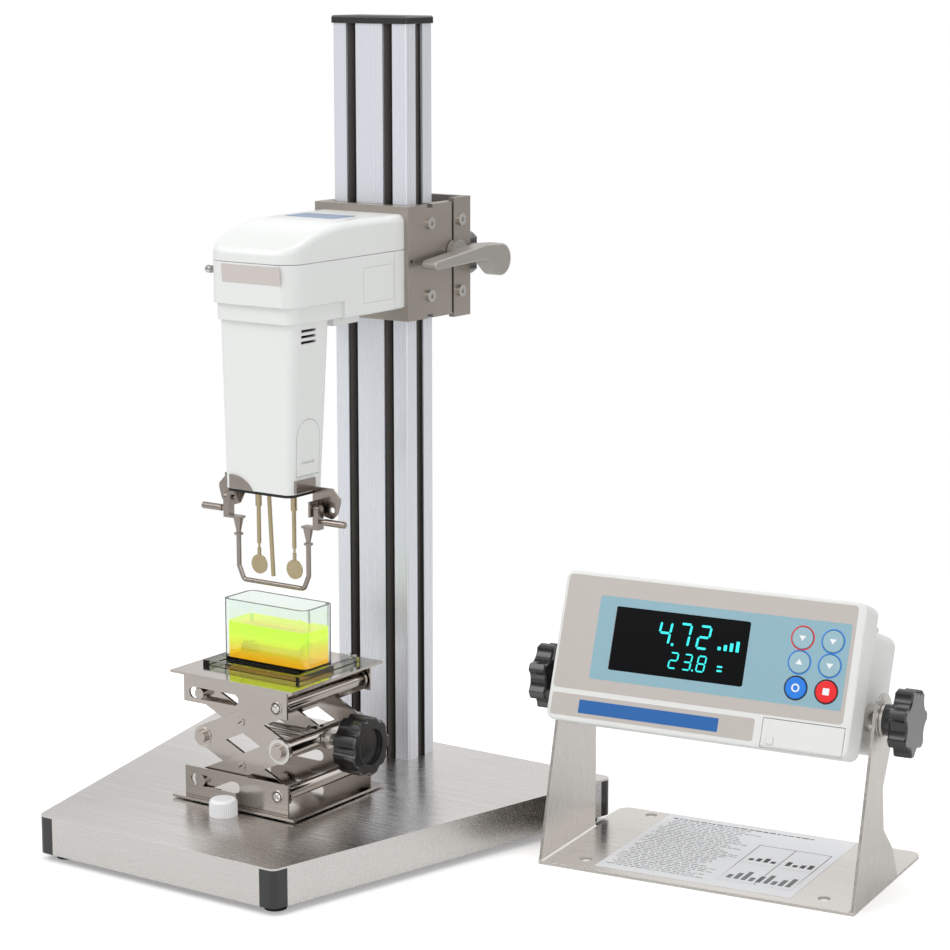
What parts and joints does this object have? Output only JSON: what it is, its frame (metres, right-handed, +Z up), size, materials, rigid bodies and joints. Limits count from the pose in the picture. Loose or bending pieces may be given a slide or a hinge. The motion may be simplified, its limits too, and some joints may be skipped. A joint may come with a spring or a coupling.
{
  "type": "vibrational viscometer",
  "caption": "Bench viscometer: vibrating twin-sensor head on a slotted column, scissor jack with glass sample cell, and a separate tilting display unit.",
  "frame": {"origin": "middle of the set's footprint, on the surface it stands on", "axes": "+X to the right along the stand's front edge, +Y to the back, +Z up"},
  "size_m": [0.5679, 0.341, 0.536],
  "materials": {
    "base_steel": "brushed stainless sheet",
    "black_plastic": "moulded, slightly glossy",
    "rubber": "matt",
    "column_aluminium": "clear anodised",
    "carriage_metal": "ground, bronze grey",
    "bright_steel": "bright",
    "slide_plastic": "natural",
    "lever_metal": "fine cast, grey",
    "head_plastic": "satin moulded",
    "circuit_board": "solder mask",
    "frame_aluminium": "machined",
    "coil_copper": "enamelled wire",
    "sensor_gold": "gold plated",
    "jack_steel": "polished stainless",
    "cell_glass": "clear",
    "liquid": "clear yellow-green liquid",
    "cap_plastic": "moulded white",
    "display_grey": "moulded warm grey",
    "display_white": "moulded off-white",
    "window_black": "smoked",
    "key_grey_blue": "moulded",
    "key_blue": "moulded",
    "key_red": "moulded",
    "bracket_steel": "brushed stainless sheet"
  },
  "bodies": {
    "root": {"base_tray": "base_steel", "base_corner_blocks": "black_plastic", "base_feet": "rubber", "column": "column_aluminium", "column_cap": "black_plastic", "column_anchor": "bright_steel", "jack_base": "jack_steel", "display_bracket": "bracket_steel"},
    "head": {"carriage": "carriage_metal", "carriage_rear_block": "carriage_metal", "carriage_screws": "bright_steel", "carriage_liners": "slide_plastic", "brake_pad": "slide_plastic", "head_top_cover": "head_plastic", "head_body": "head_plastic", "head_board": "circuit_board", "sensor_housing": "head_plastic", "side_cover": "head_plastic", "housing_gasket": "rubber", "drive_frame": "frame_aluminium", "drive_coils": "coil_copper", "spring_plates": "bright_steel", "displacement_sensors": "black_plastic", "sensor_plates": "sensor_gold", "temperature_sensor": "sensor_gold", "protector_brackets": "bright_steel"},
    "clamp_lever": {"clamp_lever": "lever_metal", "lever_shaft": "bright_steel"},
    "lock_knob": {"lock_knob": "black_plastic"},
    "protector": {"protector_bail": "bright_steel", "protector_handles": "bright_steel"},
    "jack_arm_a": {"jack_lower_fixed_arms": "jack_steel"},
    "jack_arm_b": {"jack_lower_sliding_arms": "jack_steel", "jack_lower_slide_rod": "jack_steel"},
    "jack_arm_c": {"jack_upper_fixed_arms": "jack_steel"},
    "jack_arm_d": {"jack_upper_sliding_arms": "jack_steel", "jack_upper_slide_rod": "jack_steel"},
    "jack_nut": {"jack_nut_rod": "jack_steel"},
    "jack_thrust": {"jack_thrust_rod": "jack_steel"},
    "jack_screw": {"jack_spindle": "bright_steel", "jack_knob": "black_plastic"},
    "jack_table": {"jack_top_plate": "jack_steel", "cell_rails": "jack_steel"},
    "cell": {"glass_cell": "cell_glass", "sample_liquid": "liquid"},
    "loose_cap": {"loose_cap": "cap_plastic"},
    "display": {"display_bezel": "display_white", "display_rear_shell": "display_white", "display_window": "window_black", "display_module": "window_black", "display_board": "circuit_board"},
    "left_tilt_knob": {"left_tilt_knob": "black_plastic"},
    "right_tilt_knob": {"right_tilt_knob": "black_plastic"},
    "display_door": {"display_door": "display_white"},
    "key_upper_left": {"key_upper_left": "key_grey_blue"},
    "key_upper_right": {"key_upper_right": "key_grey_blue"},
    "key_centre_left": {"key_centre_left": "key_grey_blue"},
    "key_centre_right": {"key_centre_right": "key_grey_blue"},
    "key_lower_left": {"key_lower_left": "key_blue"},
    "key_lower_right": {"key_lower_right": "key_red"}
  },
  "joints": [
    {"name": "head_height", "type": "slide", "parent": "root", "child": "head", "axis": [0, 0, 1], "range_m": [-0.046, 0.11], "deforming": ["sample_liquid"]},
    {"name": "clamp_lever_turn", "type": "hinge", "parent": "head", "child": "clamp_lever", "pos_m": [-0.11925, 0.103, 0.379], "axis": [1, 0, 0], "range_deg": [0, 50]},
    {"name": "lock_knob_turn", "type": "hinge", "parent": "head", "child": "lock_knob", "pos_m": [-0.11925, 0.1705, 0.3705], "axis": [0, 1, 0], "continuous": true},
    {"name": "protector_swing", "type": "hinge", "parent": "head", "child": "protector", "pos_m": [-0.11925, -0.046, 0.226], "axis": [1, 0, 0], "range_deg": [-75, 0]},
    {"name": "jack_raise", "type": "hinge", "parent": "root", "child": "jack_arm_a", "pos_m": [-0.08325, -0.045, 0.0449], "axis": [0, 1, 0], "range_deg": [-10.5, 21]},
    {"name": "jack_cross_low", "type": "hinge", "parent": "jack_arm_a", "child": "jack_arm_b", "pos_m": [-0.11502, -0.045, 0.05958], "axis": [0, 1, 0], "range_deg": [-42.5, 21.5]},
    {"name": "jack_left_middle", "type": "hinge", "parent": "jack_arm_a", "child": "jack_arm_c", "pos_m": [-0.14679, -0.045, 0.07426], "axis": [0, 1, 0], "range_deg": [-42.5, 21.5]},
    {"name": "jack_cross_high", "type": "hinge", "parent": "jack_arm_c", "child": "jack_arm_d", "pos_m": [-0.11502, -0.045, 0.08894], "axis": [0, 1, 0], "range_deg": [-21.5, 42.5]},
    {"name": "jack_table_level", "type": "hinge", "parent": "jack_arm_c", "child": "jack_table", "pos_m": [-0.08325, -0.045, 0.10362], "axis": [0, 1, 0], "range_deg": [-11, 21.5]},
    {"name": "jack_nut_level", "type": "hinge", "parent": "jack_arm_a", "child": "jack_nut", "pos_m": [-0.14679, -0.045, 0.07426], "axis": [0, 1, 0], "range_deg": [-21.5, 11]},
    {"name": "jack_thrust_level", "type": "hinge", "parent": "jack_arm_b", "child": "jack_thrust", "pos_m": [-0.08325, -0.045, 0.07426], "axis": [0, 1, 0], "range_deg": [-11, 21.5]},
    {"name": "jack_knob_turn", "type": "hinge", "parent": "jack_thrust", "child": "jack_screw", "pos_m": [-0.05925, -0.045, 0.07426], "axis": [1, 0, 0], "range_deg": [-760, 382]},
    {"name": "cell_lift", "type": "slide", "parent": "jack_table", "child": "cell", "axis": [0, 0, 1], "range_m": [0, 0.03]},
    {"name": "loose_cap_lift", "type": "slide", "parent": "root", "child": "loose_cap", "axis": [0, 0, 1], "range_m": [0, 0.03]},
    {"name": "display_tilt", "type": "hinge", "parent": "root", "child": "display", "pos_m": [0.15507, 0.06414, 0.113], "axis": [0.9925, 0.1219, 0], "range_deg": [-35, 30]},
    {"name": "left_tilt_knob_turn", "type": "hinge", "parent": "display", "child": "left_tilt_knob", "pos_m": [0.03993, 0.05001, 0.113], "axis": [0.9925, 0.1219, 0], "continuous": true},
    {"name": "right_tilt_knob_turn", "type": "hinge", "parent": "display", "child": "right_tilt_knob", "pos_m": [0.2702, 0.07828, 0.113], "axis": [0.9925, 0.1219, 0], "continuous": true},
    {"name": "display_door_flip", "type": "hinge", "parent": "display", "child": "display_door", "pos_m": [0.23165, 0.02548, 0.10121], "axis": [0.9925, 0.1219, 0], "range_deg": [0, 95]},
    {"name": "key_upper_left_press", "type": "slide", "parent": "display", "child": "key_upper_left", "axis": [-0.1145, 0.9327, -0.342], "range_m": [0, 0.0012], "stiffness_N_per_m": 400},
    {"name": "key_upper_right_press", "type": "slide", "parent": "display", "child": "key_upper_right", "axis": [-0.1145, 0.9327, -0.342], "range_m": [0, 0.0012], "stiffness_N_per_m": 400},
    {"name": "key_centre_left_press", "type": "slide", "parent": "display", "child": "key_centre_left", "axis": [-0.1145, 0.9327, -0.342], "range_m": [0, 0.0012], "stiffness_N_per_m": 400},
    {"name": "key_centre_right_press", "type": "slide", "parent": "display", "child": "key_centre_right", "axis": [-0.1145, 0.9327, -0.342], "range_m": [0, 0.0012], "stiffness_N_per_m": 400},
    {"name": "key_lower_left_press", "type": "slide", "parent": "display", "child": "key_lower_left", "axis": [-0.1145, 0.9327, -0.342], "range_m": [0, 0.0012], "stiffness_N_per_m": 400},
    {"name": "key_lower_right_press", "type": "slide", "parent": "display", "child": "key_lower_right", "axis": [-0.1145, 0.9327, -0.342], "range_m": [0, 0.0012], "stiffness_N_per_m": 400}
  ],
  "couplings": [
    {"joint": "jack_cross_low", "follows": "jack_raise", "ratio": -2},
    {"joint": "jack_left_middle", "follows": "jack_raise", "ratio": -2},
    {"joint": "jack_cross_high", "follows": "jack_raise", "ratio": 2},
    {"joint": "jack_table_level", "follows": "jack_raise", "ratio": 1},
    {"joint": "jack_nut_level", "follows": "jack_raise", "ratio": -1},
    {"joint": "jack_thrust_level", "follows": "jack_raise", "ratio": 1},
    {"joint": "jack_knob_turn", "follows": "jack_raise", "ratio": -36}
  ]
}
